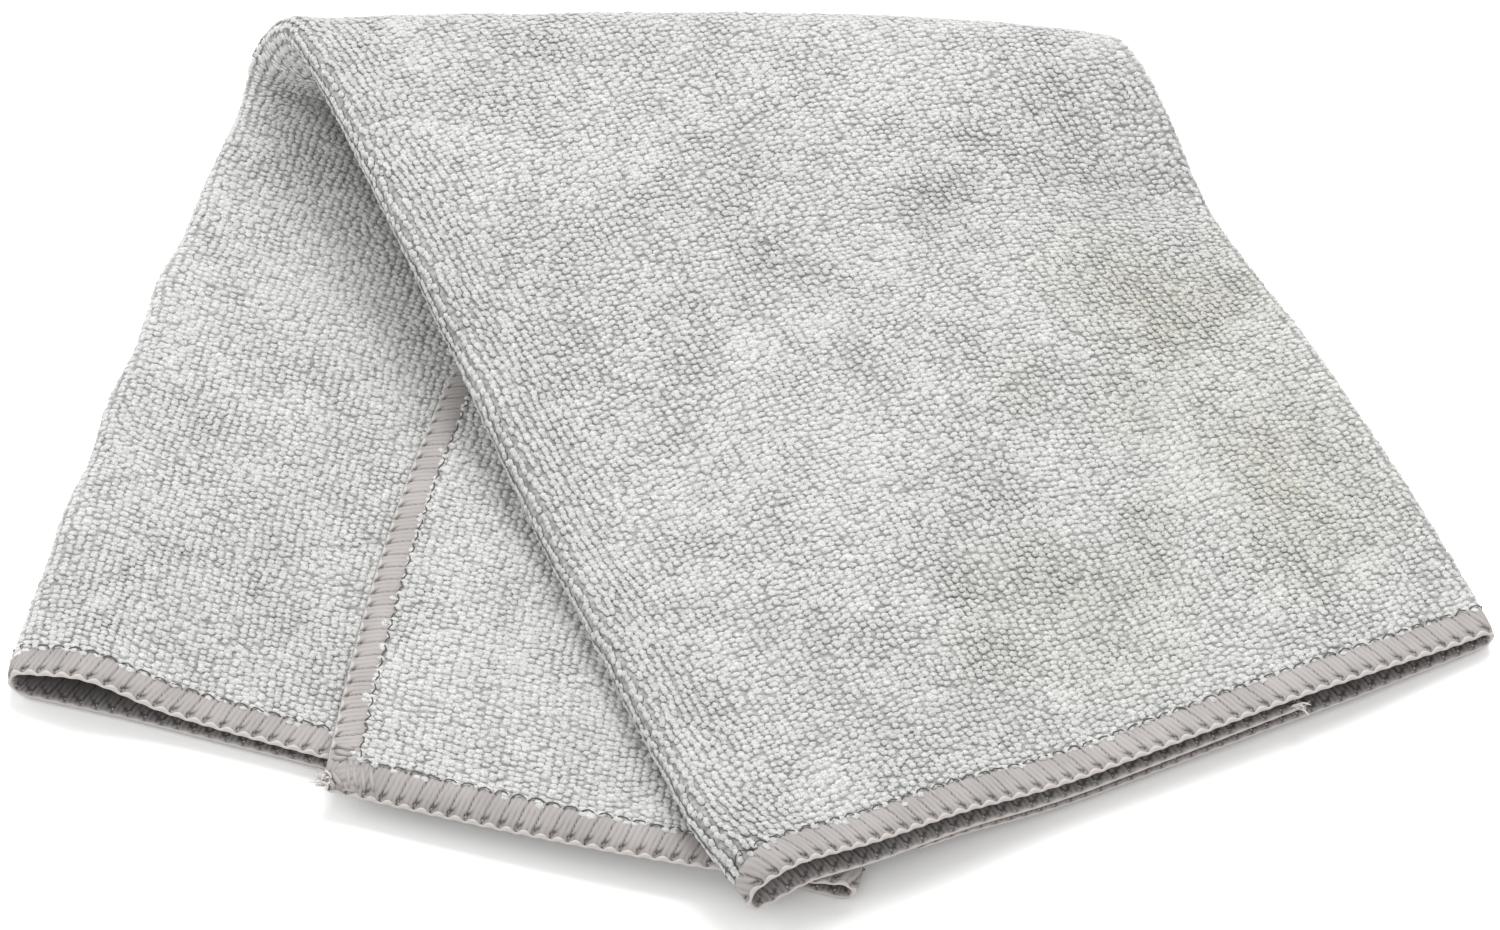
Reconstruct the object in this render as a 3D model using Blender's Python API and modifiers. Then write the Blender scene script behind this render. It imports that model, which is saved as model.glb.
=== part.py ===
"""A microfibre cleaning cloth, folded in three lengthwise and then in half, its two halves fanned apart.

Metres, +Z up. The cloth rests on z = 0 and the photo is taken from the front, from -Y.

Names used all through:
    across   a place on the flat cloth, measured across the strip from the under panel's free edge
    along    a place on the flat cloth, measured along the strip from the top hem to the bottom hem
    depth    how far a layer lies under the outer panel, towards the inside of the fold
The strip is the under panel, the outer panel and the inner panel. The top hem ends the upper half of the
strip, and the bottom hem ends the lower half, which lies on the table with its outer panel down.
"""
import math

import bmesh
import bpy
import numpy as np

# The flat cloth
CLOTH_ACROSS = 0.385
CLOTH_ALONG = 0.400
CLOTH_THICK = 0.0022
LAYER_PITCH = 0.00305

# The two lengthwise folds. inset: how much cloth is turned in, at the top hem and at the bottom hem.
# nose: the radius of the fold there. settled: the depth of the turned-in panel away from its fold, and
# reach: how far from the fold it settles.
FOLDS = {
    "left": {"inset": (0.1079, 0.1312), "nose": (0.0023, 0.0028), "settled": LAYER_PITCH, "reach": 0.031},
    "right": {"inset": (0.1199, 0.0952), "nose": (0.0017, 0.0024), "settled": 2 * LAYER_PITCH, "reach": 0.022},
}

# The fold in half, at the back. The bend opens into a loop that is wide at its left end. BEND_LINE says how
# far the bend lies in front of a straight crease, in its middle and at its right end. BEND_KINK is the under
# panel's buckle inside the loop, next to its fold.
CREASE_ALONG = 0.2377          # where the bend crosses the left fold
CREASE_SKEW = math.radians(21.2)
CREASE_YAW = math.radians(5.6)
CREASE_X = -0.1089
CREASE_Y = 0.0859
BEND_RADIUS_LEFT = 0.0158
BEND_RADIUS_RIGHT = 0.0112
BEND_LENGTH = 0.170
BEND_LINE = {"length": 0.165, "middle": 0.0046, "end": 0.0120, "reach": 0.050}
BEND_KINK = {"depth": 0.0060, "nose": 0.010, "from": 0.018, "to": 0.044}

# How the upper half comes down from the bend, onto the lower half and past its right edge onto the table
FALL_LEFT = 0.194
FALL_RIGHT = 0.036
STEP_OFF = 0.056
LOWER_STACK = 3 * LAYER_PITCH + 0.0003
LOWER_RIGHT_EDGE = 0.163       # the lower half's right fold, along the crease
INNER_EDGE_RAMP = (0.022, 0.050)

# Unevenness of the hems. The top hem's under panel stands out past the outer panel, less so at its corner.
# The bottom hem's inner panel has slid out past the outer panel, from a little behind the bend onwards.
UNDER_PANEL_PROUD = 0.0010
PROUD_REACH = 0.008
UNDER_CORNER_BACK = -0.0001
INNER_PANEL_SLIP = 0.0079
SLIP_REACH = 0.030
SLIP_GROWS = (-0.080, 0.040)
UNDER_PANEL_SKEW = 0.001

# Unevenness of the edges: how far each moves sideways, where it is strongest and how far that reaches
LOWER_BOW = 0.0030             # the lower half is bowed to the left
LOWER_LENGTH = 0.200
NOSE_TUCK = {"shift": 0.0034, "along": 0.0085, "across": 0.030}
UNDER_CORNER = {"shift": 0.0077, "along": 0.025}
RIGHT_BULGE = {"shift": 0.0017, "centre": 0.060, "along": 0.045, "across": 0.050}
INNER_LEAN = {"shift": 0.0109, "centre": 0.250, "along": 0.070}

# Unevenness in height
MOUTH_LIFT = {"lift": 0.0032, "along": 0.030, "centre": 0.016, "across": 0.010}
NOSE_DROOP = {"drop": 0.0068, "past": 0.0025, "over": 0.0085}
HEM_REST = {"drop": 0.0003, "along": 0.020, "from": 0.004, "centre": 0.0125, "across": 0.008}
CORNER_DROOP = {"drop": 0.0020, "past": 0.0015, "over": 0.006, "from": 0.002, "to": 0.030}
WAVES = [                      # height, length and heading of the swells in the upper half
    {"height": 0.00035, "length": 0.105, "heading": math.radians(20)},
    {"height": 0.00025, "length": 0.071, "heading": math.radians(-50)},
    {"height": 0.00020, "length": 0.052, "heading": math.radians(95)},
]

# Faces of the sheet, by zone
COLUMNS = {"under panel": 11, "left fold": 6, "outer panel": 15, "right fold": 6, "inner panel": 10}
ROWS = {"top hem": 4, "upper half": 14, "bend": 10, "lower half": 12, "bottom hem": 3}
HEM_DEEP = 0.009


def ease(value, start, end):
    """0 before start, 1 after end, and a smooth step between them."""
    k = np.clip((value - start) / (end - start), 0, 1)
    return k * k * (3 - 2 * k)


def along_mix(pair, along):
    """A size that changes evenly from the top hem to the bottom hem."""
    return pair[0] + (pair[1] - pair[0]) * along / CLOTH_ALONG


def fold_lines(along):
    """Where the left and the right fold cross the cloth, and the radii of their noses."""
    left = along_mix(FOLDS["left"]["inset"], along)
    right = CLOTH_ACROSS - along_mix(FOLDS["right"]["inset"], along)
    return left, right, along_mix(FOLDS["left"]["nose"], along), along_mix(FOLDS["right"]["nose"], along)


def turned_edge(past, nose, settled, reach):
    """Half round a fold. past is the cloth's distance from the fold line, negative on the turned-in panel.

    Gives the distance in from the fold's edge and the depth under the outer panel.
    """
    quarter = math.pi * nose / 2
    turn = np.clip(past / nose, -math.pi / 2, math.pi / 2)
    flat = np.maximum(np.abs(past) - quarter, 0)
    inward = nose * (1 - np.cos(turn)) + flat
    gap = settled + (2 * nose - settled) * bell(flat, 0, reach)
    depth = np.where(past > -quarter, nose * (1 - np.sin(turn)), gap)
    return inward, depth


def bell(value, centre, width):
    """1 at the centre, falling smoothly to nothing beyond about twice the width on both sides."""
    return np.exp(-((value - centre) / width) ** 2)


def sideways(across, along, place, width):
    """How far the edges and hems have moved to the right, on the folded strip."""
    into_inner = np.maximum(across - fold_lines(along)[1], 0) / FOLDS["right"]["inset"][0]
    tuck = NOSE_TUCK["shift"] * bell(along, 0, NOSE_TUCK["along"]) * bell(place, 0, NOSE_TUCK["across"])
    bulge = RIGHT_BULGE["shift"] * bell(along, RIGHT_BULGE["centre"], RIGHT_BULGE["along"]) * bell(
        place, width, RIGHT_BULGE["across"])
    into_under = np.maximum(fold_lines(along)[0] - across, 0) / FOLDS["left"]["inset"][0]
    corner = UNDER_CORNER["shift"] * bell(along, 0, UNDER_CORNER["along"]) * into_under ** 2
    lean = INNER_LEAN["shift"] * bell(along, INNER_LEAN["centre"], INNER_LEAN["along"]) * into_inner
    return tuck + bulge + corner + lean


def strip_section(across, along):
    """The strip folded in three: place across the strip, depth of the layer, and depth of the stack there."""
    left, right, left_nose, right_nose = fold_lines(along)
    inward_left, depth_left = turned_edge(across - left, left_nose, FOLDS["left"]["settled"],
                                          FOLDS["left"]["reach"])
    inward_right, depth_right = turned_edge(right - across, right_nose, FOLDS["right"]["settled"],
                                            FOLDS["right"]["reach"])
    width = (right - left) - (math.pi / 2 - 1) * (left_nose + right_nose)
    near_right = (right - across) < (across - left)
    place = np.where(near_right, width - inward_right, inward_left)
    depth = np.where(near_right, depth_right, depth_left)
    # the outer panel lies on the inner one near the right fold, and on the under one alone near the left
    settled = FOLDS["right"]["settled"]
    flat = np.maximum(width - place - right_nose, 0)
    stack = settled + (2 * right_nose - settled) * bell(flat, 0, FOLDS["right"]["reach"])
    stack = stack * (1 + ease(place, *INNER_EDGE_RAMP)) / 2
    moved = left - FOLDS["left"]["inset"][0] + sideways(across, along, place, width)
    return place + moved, depth, stack


def slid(across, along):
    """The place along the strip, with the turned-in panels a little out of line at the hems."""
    left, right, _, _ = fold_lines(along)
    into_under = np.maximum(left - across, 0)
    into_inner = np.maximum(across - right, 0)
    lower = ease(along - CREASE_ALONG, *SLIP_GROWS)
    proud = UNDER_PANEL_PROUD - (UNDER_PANEL_PROUD + UNDER_CORNER_BACK) * (into_under / left) ** 2
    top = -proud * (1 - np.exp(-into_under / PROUD_REACH))
    bottom = INNER_PANEL_SLIP * (1 - np.exp(-into_inner / SLIP_REACH)) + UNDER_PANEL_SKEW * into_under
    return along + top * (1 - lower) + bottom * lower


def bend_radius(place):
    """The outer panel's radius in the bend, at a place along the crease."""
    return BEND_RADIUS_LEFT + (BEND_RADIUS_RIGHT - BEND_RADIUS_LEFT) * np.clip(place / BEND_LENGTH, -0.1, 1.2)


def kink(across, along, turn):
    """How much further in the under panel lies in the bend, where its inside has buckled."""
    into_under = np.maximum(fold_lines(along)[0] - across, 0)
    return BEND_KINK["depth"] * np.sin(turn) ** 2 * ease(into_under, 0, BEND_KINK["nose"]) * (
        1 - ease(into_under, BEND_KINK["from"], BEND_KINK["to"]))


def inner_droop(reached, into_inner):
    """How much lower the inner panel's bottom hem lies, by its fold and at its slid-out corner."""
    rest = HEM_REST["drop"] * bell(reached, CLOTH_ALONG, HEM_REST["along"]) * bell(
        into_inner, HEM_REST["centre"], HEM_REST["across"]) * ease(into_inner, 0, HEM_REST["from"])
    past_hem = np.maximum(reached - CLOTH_ALONG - CORNER_DROOP["past"], 0) / CORNER_DROOP["over"]
    corner = CORNER_DROOP["drop"] * past_hem ** 2 * ease(into_inner, CORNER_DROOP["from"], CORNER_DROOP["to"])
    return rest + corner


def mouth_lift(across, along):
    """How much higher the under panel's bottom hem stands, by its fold."""
    into_under = np.maximum(fold_lines(along)[0] - across, 0)
    return MOUTH_LIFT["lift"] * bell(along, CLOTH_ALONG, MOUTH_LIFT["along"]) * bell(
        into_under, MOUTH_LIFT["centre"], MOUTH_LIFT["across"])


def swell(on_crease, ahead):
    """Soft unevenness of the upper half, never below its resting height."""
    height = np.zeros_like(ahead)
    for wave in WAVES:
        run = on_crease * math.cos(wave["heading"]) - ahead * math.sin(wave["heading"])
        height += wave["height"] * (1 + np.sin(2 * math.pi * run / wave["length"]))
    return height


def nose_droop(on_crease, ahead):
    """How much lower the upper half's left corner hangs, where it stands out past the lower half's hem."""
    lower_hem = ((CLOTH_ALONG - CREASE_ALONG) / math.cos(CREASE_SKEW) + on_crease * math.tan(CREASE_SKEW)
                 - math.pi * bend_radius(on_crease) / 2)
    overhang = (ahead - lower_hem) * math.cos(CREASE_SKEW) - NOSE_DROOP["past"]
    return NOSE_DROOP["drop"] * (1 - bell(np.maximum(overhang, 0), 0, NOSE_DROOP["over"]))


def upper_base(on_crease, ahead, stack):
    """The height of the upper half's lowest layer as it comes down from the bend."""
    past_lower_edge = (on_crease - LOWER_RIGHT_EDGE + ahead * math.tan(CREASE_SKEW)) * math.cos(CREASE_SKEW)
    on_stack = 1 - ease(past_lower_edge, 0, STEP_OFF)
    fall = FALL_LEFT + (FALL_RIGHT - FALL_LEFT) * np.clip(on_crease / LOWER_RIGHT_EDGE, 0, 1)
    fallen = np.clip(ahead / fall, 0, 1)
    held_up = (1 - fallen) ** 2 * (1 + 2 * fallen)
    resting = LOWER_STACK * on_stack + swell(on_crease, ahead)
    bend_top = 2 * bend_radius(on_crease) - stack
    return CLOTH_THICK / 2 + bend_top * held_up + resting * (1 - held_up) - nose_droop(on_crease, ahead)


def folded(across, along):
    """Points of the middle of the cloth's thickness, for places on the flat cloth."""
    place, depth, stack = strip_section(across, along)
    reached = slid(across, along)
    # on the strip laid flat: distance past the crease, and place along the crease
    past_crease = (reached - CREASE_ALONG) * math.cos(CREASE_SKEW) + place * math.sin(CREASE_SKEW)
    on_crease = place * math.cos(CREASE_SKEW) - (reached - CREASE_ALONG) * math.sin(CREASE_SKEW)

    # round the bend, which lies in front of the straight crease as BEND_LINE says
    outer = bend_radius(on_crease)
    into_bend = past_crease + math.pi * outer / 2
    is_upper = into_bend < 0
    turn = np.clip(into_bend / outer, 0, math.pi)
    ahead = np.where(is_upper, -into_bend, np.maximum(into_bend - math.pi * outer, 0))
    on_bend = np.clip(on_crease / BEND_LINE["length"], 0, 1.1)
    forward = 4 * BEND_LINE["middle"] * on_bend * (1 - on_bend) + BEND_LINE["end"] * on_bend ** 4
    forward = forward * bell(ahead, 0, BEND_LINE["reach"])
    depth = depth + kink(across, along, turn)
    back = (outer - depth) * np.sin(turn) - ahead - forward
    bowed = np.clip(ahead / LOWER_LENGTH, 0, 1)
    on_crease = on_crease - np.where(is_upper, 0, 4 * LOWER_BOW * bowed * (1 - bowed))
    x = CREASE_X + on_crease * math.cos(CREASE_YAW) - back * math.sin(CREASE_YAW)
    y = CREASE_Y + on_crease * math.sin(CREASE_YAW) + back * math.cos(CREASE_YAW)
    bent_z = CLOTH_THICK / 2 + outer + (outer - depth) * np.cos(turn)

    # the upper half comes down from the bend, its layers as far apart on a slope as on the flat
    step = 0.001
    base = upper_base(on_crease, ahead, stack)
    slope_across = (upper_base(on_crease + step, ahead, stack) - base) / step
    slope_ahead = (upper_base(on_crease, ahead + step, stack) - base) / step
    upper_z = base + (stack - depth) * np.sqrt(1 + slope_across ** 2 + slope_ahead ** 2)

    into_inner = np.maximum(across - fold_lines(along)[1], 0)
    lower_z = bent_z + mouth_lift(across, along) - inner_droop(reached, into_inner)
    z = np.where(is_upper, upper_z, lower_z)
    return np.stack([x, y, z], axis=-1)


def stations(bounds, counts):
    """Even steps between neighbouring bounds, each bound an array or a number, as a list of columns."""
    steps = [bounds[0]]
    for start, end, count in zip(bounds, bounds[1:], counts):
        steps += [start + (end - start) * (k + 1) / count for k in range(count)]
    return steps


def column_places(along):
    """The places across the cloth of every column of faces, closely spaced round the two folds."""
    left, right, left_nose, right_nose = fold_lines(along)
    left_half = math.pi * left_nose / 2
    right_half = math.pi * right_nose / 2
    bounds = [0 * along, left - left_half, left + left_half, right - right_half, right + right_half,
              CLOTH_ACROSS + 0 * along]
    return stations(bounds, COLUMNS.values())


def row_places(across):
    """The places along the cloth of every row of faces, closely spaced round the bend."""
    place, _, _ = strip_section(across, CREASE_ALONG + 0 * across)
    quarter = math.pi * bend_radius(place / math.cos(CREASE_SKEW)) / 2
    crossing = CREASE_ALONG - place * math.tan(CREASE_SKEW)
    half_bend = quarter / math.cos(CREASE_SKEW)
    flat = 0 * across
    bounds = [flat, flat + HEM_DEEP, crossing - half_bend, crossing + half_bend,
              flat + CLOTH_ALONG - HEM_DEEP, flat + CLOTH_ALONG]
    return stations(bounds, ROWS.values())


def flat_places():
    """The flat cloth's net: places across and along it, as arrays of columns by rows."""
    columns = sum(COLUMNS.values()) + 1
    rows = sum(ROWS.values()) + 1
    along = np.tile(np.linspace(0, CLOTH_ALONG, rows), (columns, 1))
    for _ in range(4):
        across = np.array([column_places(along[i])[i] for i in range(columns)])
        along = np.array([row_places(across[:, j])[j] for j in range(rows)]).T
    return across, along


def sheet_mesh(name):
    """An open sheet with one vertex at each place of the net, folded."""
    across, along = flat_places()
    points = folded(across, along)
    columns, rows = across.shape
    net = bmesh.new()
    bmesh.ops.create_grid(net, x_segments=columns - 1, y_segments=rows - 1, size=1)
    for vertex in net.verts:
        column = round((vertex.co.x + 1) / 2 * (columns - 1))
        row = round((vertex.co.y + 1) / 2 * (rows - 1))
        vertex.co = points[column, row]
    mesh = bpy.data.meshes.new(name)
    net.to_mesh(mesh)
    net.free()
    mesh.shade_smooth()
    return mesh


def microfibre():
    """Pale grey polyester and polyamide terry."""
    material = bpy.data.materials.new("microfibre_terry")
    material.use_nodes = True
    shader = material.node_tree.nodes["Principled BSDF"]
    shader.inputs["Base Color"].default_value = (0.63, 0.65, 0.63, 1)
    shader.inputs["Roughness"].default_value = 0.95
    shader.inputs["Metallic"].default_value = 0
    return material


def build_cloth(collection):
    """The one-piece cloth: the folded sheet, given its thickness evenly to both sides."""
    cloth = bpy.data.objects.new("cloth", sheet_mesh("cloth"))
    cloth.data.materials.append(microfibre())
    collection.objects.link(cloth)
    thickness = cloth.modifiers.new("thickness", "SOLIDIFY")
    thickness.thickness = CLOTH_THICK
    thickness.offset = 0
    thickness.use_even_offset = True
    return cloth


for old in list(bpy.data.objects):
    bpy.data.objects.remove(old, do_unlink=True)
parts = bpy.data.collections.new("microfibre_cloth")
bpy.context.scene.collection.children.link(parts)
build_cloth(parts)
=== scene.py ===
"""A pale grey terry microfibre cloth, folded in three and then in half, on a white table.

Metres, +Z up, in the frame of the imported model. Names used all through:
    across, along   a place on the flat cloth, in metres
    lift            height above the middle of the cloth's thickness, on its outer face
"""
import math

import bmesh
import bpy
import numpy as np
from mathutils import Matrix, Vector


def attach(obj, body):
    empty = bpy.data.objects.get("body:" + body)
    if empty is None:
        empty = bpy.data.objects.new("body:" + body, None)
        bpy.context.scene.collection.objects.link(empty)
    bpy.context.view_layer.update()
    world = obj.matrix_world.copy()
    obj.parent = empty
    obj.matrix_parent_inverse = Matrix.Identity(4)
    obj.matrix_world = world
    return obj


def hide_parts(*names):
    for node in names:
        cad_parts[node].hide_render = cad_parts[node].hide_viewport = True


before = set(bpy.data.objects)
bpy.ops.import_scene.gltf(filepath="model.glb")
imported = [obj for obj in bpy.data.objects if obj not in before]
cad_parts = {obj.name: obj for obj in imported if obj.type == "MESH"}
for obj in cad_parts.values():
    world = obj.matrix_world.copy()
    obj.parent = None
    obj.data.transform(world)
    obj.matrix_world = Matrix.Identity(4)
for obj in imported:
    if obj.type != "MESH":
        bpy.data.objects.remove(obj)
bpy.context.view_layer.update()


# ---------------------------------------------------------------- the cloth, folded
# One sheet of terry knit, 385 by 400 mm. Both long sides are turned under and the strip is folded in half
# at the back, where it opens into a loop. The halves are fanned apart.

CLOTH_ACROSS = 0.385
CLOTH_ALONG = 0.400
CLOTH_THICK = 0.0022
LAYER_PITCH = 0.00305

# The two lengthwise folds. inset: how much cloth is turned in, at the top hem and at the bottom hem.
# nose: the radius of the fold there. settled: the depth of the turned-in panel away from its fold, and
# reach: how far from the fold it settles.
FOLDS = {
    "left": {"inset": (0.1079, 0.1312), "nose": (0.0023, 0.0028), "settled": LAYER_PITCH, "reach": 0.031},
    "right": {"inset": (0.1199, 0.0952), "nose": (0.0017, 0.0024), "settled": 2 * LAYER_PITCH,
              "reach": 0.022},
}

# The fold in half, at the back. The bend opens into a loop that is wide at its left end.
CREASE_ALONG = 0.2377          # where the bend crosses the left fold
CREASE_SKEW = math.radians(21.2)
CREASE_YAW = math.radians(5.6)
CREASE_X = -0.1089
CREASE_Y = 0.0859
BEND_RADIUS_LEFT = 0.0158
BEND_RADIUS_RIGHT = 0.0112
BEND_LENGTH = 0.170
BEND_LINE = {"length": 0.165, "middle": 0.0046, "end": 0.0120, "reach": 0.050}
BEND_KINK = {"depth": 0.0060, "nose": 0.010, "from": 0.018, "to": 0.044}

# How the upper half comes down from the bend, onto the lower half and past its right edge onto the table
FALL_LEFT = 0.194
FALL_RIGHT = 0.036
STEP_OFF = 0.056
LOWER_STACK = 3 * LAYER_PITCH + 0.0003
LOWER_RIGHT_EDGE = 0.163       # the lower half's right fold, along the crease
INNER_EDGE_RAMP = (0.022, 0.050)

# Unevenness of the hems. The top hem's under panel stands out past the outer panel, less so at its corner.
# The bottom hem's inner panel has slid out past the outer panel, from a little behind the bend onwards.
UNDER_PANEL_PROUD = 0.0010
PROUD_REACH = 0.008
UNDER_CORNER_BACK = -0.0001
INNER_PANEL_SLIP = 0.0079
SLIP_REACH = 0.030
SLIP_GROWS = (-0.080, 0.040)
UNDER_PANEL_SKEW = 0.001

# Unevenness of the edges: how far each moves sideways, where it is strongest and how far that reaches
LOWER_BOW = 0.0030             # the lower half is bowed to the left
LOWER_LENGTH = 0.200
NOSE_TUCK = {"shift": 0.0034, "along": 0.0085, "across": 0.030}
UNDER_CORNER = {"shift": 0.0077, "along": 0.025}
RIGHT_BULGE = {"shift": 0.0017, "centre": 0.060, "along": 0.045, "across": 0.050}
INNER_LEAN = {"shift": 0.0109, "centre": 0.250, "along": 0.070}

# Unevenness in height
MOUTH_LIFT = {"lift": 0.0032, "along": 0.030, "centre": 0.016, "across": 0.010}
NOSE_DROOP = {"drop": 0.0068, "past": 0.0025, "over": 0.0085}
HEM_REST = {"drop": 0.0003, "along": 0.020, "from": 0.004, "centre": 0.0125, "across": 0.008}
CORNER_DROOP = {"drop": 0.0020, "past": 0.0015, "over": 0.006, "from": 0.002, "to": 0.030}
WAVES = [                      # height, length and heading of the swells in the upper half
    {"height": 0.00035, "length": 0.105, "heading": math.radians(20)},
    {"height": 0.00025, "length": 0.071, "heading": math.radians(-50)},
    {"height": 0.00020, "length": 0.052, "heading": math.radians(95)},
]


def ease(value, start, end):
    """0 before start, 1 after end, and a smooth step between them."""
    k = np.clip((value - start) / (end - start), 0, 1)
    return k * k * (3 - 2 * k)


def along_mix(pair, along):
    """A size that changes evenly from the top hem to the bottom hem."""
    return pair[0] + (pair[1] - pair[0]) * along / CLOTH_ALONG


def fold_lines(along):
    """Where the left and the right fold cross the cloth, and the radii of their noses."""
    left = along_mix(FOLDS["left"]["inset"], along)
    right = CLOTH_ACROSS - along_mix(FOLDS["right"]["inset"], along)
    return left, right, along_mix(FOLDS["left"]["nose"], along), along_mix(FOLDS["right"]["nose"], along)


def turned_edge(past, nose, settled, reach):
    """Half round a fold. past is the cloth's distance from the fold line, negative on the turned-in panel.

    Gives the distance in from the fold's edge and the depth under the outer panel.
    """
    quarter = math.pi * nose / 2
    turn = np.clip(past / nose, -math.pi / 2, math.pi / 2)
    flat = np.maximum(np.abs(past) - quarter, 0)
    inward = nose * (1 - np.cos(turn)) + flat
    gap = settled + (2 * nose - settled) * bell(flat, 0, reach)
    depth = np.where(past > -quarter, nose * (1 - np.sin(turn)), gap)
    return inward, depth


def bell(value, centre, width):
    """1 at the centre, falling smoothly to nothing beyond about twice the width on both sides."""
    return np.exp(-((value - centre) / width) ** 2)


def sideways(across, along, place, width):
    """How far the edges and hems have moved to the right, on the folded strip."""
    into_inner = np.maximum(across - fold_lines(along)[1], 0) / FOLDS["right"]["inset"][0]
    tuck = NOSE_TUCK["shift"] * bell(along, 0, NOSE_TUCK["along"]) * bell(place, 0, NOSE_TUCK["across"])
    bulge = RIGHT_BULGE["shift"] * bell(along, RIGHT_BULGE["centre"], RIGHT_BULGE["along"]) * bell(
        place, width, RIGHT_BULGE["across"])
    into_under = np.maximum(fold_lines(along)[0] - across, 0) / FOLDS["left"]["inset"][0]
    corner = UNDER_CORNER["shift"] * bell(along, 0, UNDER_CORNER["along"]) * into_under ** 2
    lean = INNER_LEAN["shift"] * bell(along, INNER_LEAN["centre"], INNER_LEAN["along"]) * into_inner
    return tuck + bulge + corner + lean


def strip_section(across, along):
    """The strip folded in three: place across the strip, depth of the layer, and depth of the stack there."""
    left, right, left_nose, right_nose = fold_lines(along)
    inward_left, depth_left = turned_edge(across - left, left_nose, FOLDS["left"]["settled"],
                                          FOLDS["left"]["reach"])
    inward_right, depth_right = turned_edge(right - across, right_nose, FOLDS["right"]["settled"],
                                            FOLDS["right"]["reach"])
    width = (right - left) - (math.pi / 2 - 1) * (left_nose + right_nose)
    near_right = (right - across) < (across - left)
    place = np.where(near_right, width - inward_right, inward_left)
    depth = np.where(near_right, depth_right, depth_left)
    # the outer panel lies on the inner one near the right fold, and on the under one alone near the left
    settled = FOLDS["right"]["settled"]
    flat = np.maximum(width - place - right_nose, 0)
    stack = settled + (2 * right_nose - settled) * bell(flat, 0, FOLDS["right"]["reach"])
    stack = stack * (1 + ease(place, *INNER_EDGE_RAMP)) / 2
    moved = left - FOLDS["left"]["inset"][0] + sideways(across, along, place, width)
    return place + moved, depth, stack


def slid(across, along):
    """The place along the strip, with the turned-in panels a little out of line at the hems."""
    left, right, _, _ = fold_lines(along)
    into_under = np.maximum(left - across, 0)
    into_inner = np.maximum(across - right, 0)
    lower = ease(along - CREASE_ALONG, *SLIP_GROWS)
    proud = UNDER_PANEL_PROUD - (UNDER_PANEL_PROUD + UNDER_CORNER_BACK) * (into_under / left) ** 2
    top = -proud * (1 - np.exp(-into_under / PROUD_REACH))
    bottom = INNER_PANEL_SLIP * (1 - np.exp(-into_inner / SLIP_REACH)) + UNDER_PANEL_SKEW * into_under
    return along + top * (1 - lower) + bottom * lower


def bend_radius(place):
    """The outer panel's radius in the bend, at a place along the crease."""
    return BEND_RADIUS_LEFT + (BEND_RADIUS_RIGHT - BEND_RADIUS_LEFT) * np.clip(place / BEND_LENGTH, -0.1, 1.2)


def kink(across, along, turn):
    """How much further in the under panel lies in the bend, where its inside has buckled."""
    into_under = np.maximum(fold_lines(along)[0] - across, 0)
    return BEND_KINK["depth"] * np.sin(turn) ** 2 * ease(into_under, 0, BEND_KINK["nose"]) * (
        1 - ease(into_under, BEND_KINK["from"], BEND_KINK["to"]))


def inner_droop(reached, into_inner):
    """How much lower the inner panel's bottom hem lies, by its fold and at its slid-out corner."""
    rest = HEM_REST["drop"] * bell(reached, CLOTH_ALONG, HEM_REST["along"]) * bell(
        into_inner, HEM_REST["centre"], HEM_REST["across"]) * ease(into_inner, 0, HEM_REST["from"])
    past_hem = np.maximum(reached - CLOTH_ALONG - CORNER_DROOP["past"], 0) / CORNER_DROOP["over"]
    corner = CORNER_DROOP["drop"] * past_hem ** 2 * ease(into_inner, CORNER_DROOP["from"], CORNER_DROOP["to"])
    return rest + corner


def mouth_lift(across, along):
    """How much higher the under panel's bottom hem stands, by its fold."""
    into_under = np.maximum(fold_lines(along)[0] - across, 0)
    return MOUTH_LIFT["lift"] * bell(along, CLOTH_ALONG, MOUTH_LIFT["along"]) * bell(
        into_under, MOUTH_LIFT["centre"], MOUTH_LIFT["across"])


def swell(on_crease, ahead):
    """Soft unevenness of the upper half, never below its resting height."""
    height = np.zeros_like(ahead)
    for wave in WAVES:
        run = on_crease * math.cos(wave["heading"]) - ahead * math.sin(wave["heading"])
        height += wave["height"] * (1 + np.sin(2 * math.pi * run / wave["length"]))
    return height


def nose_droop(on_crease, ahead):
    """How much lower the upper half's left corner hangs, where it stands out past the lower half's hem."""
    lower_hem = ((CLOTH_ALONG - CREASE_ALONG) / math.cos(CREASE_SKEW) + on_crease * math.tan(CREASE_SKEW)
                 - math.pi * bend_radius(on_crease) / 2)
    overhang = (ahead - lower_hem) * math.cos(CREASE_SKEW) - NOSE_DROOP["past"]
    return NOSE_DROOP["drop"] * (1 - bell(np.maximum(overhang, 0), 0, NOSE_DROOP["over"]))


def upper_base(on_crease, ahead, stack):
    """The height of the upper half's lowest layer as it comes down from the bend."""
    past_lower_edge = (on_crease - LOWER_RIGHT_EDGE + ahead * math.tan(CREASE_SKEW)) * math.cos(CREASE_SKEW)
    on_stack = 1 - ease(past_lower_edge, 0, STEP_OFF)
    fall = FALL_LEFT + (FALL_RIGHT - FALL_LEFT) * np.clip(on_crease / LOWER_RIGHT_EDGE, 0, 1)
    fallen = np.clip(ahead / fall, 0, 1)
    held_up = (1 - fallen) ** 2 * (1 + 2 * fallen)
    resting = LOWER_STACK * on_stack + swell(on_crease, ahead)
    bend_top = 2 * bend_radius(on_crease) - stack
    return CLOTH_THICK / 2 + bend_top * held_up + resting * (1 - held_up) - nose_droop(on_crease, ahead)


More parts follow.
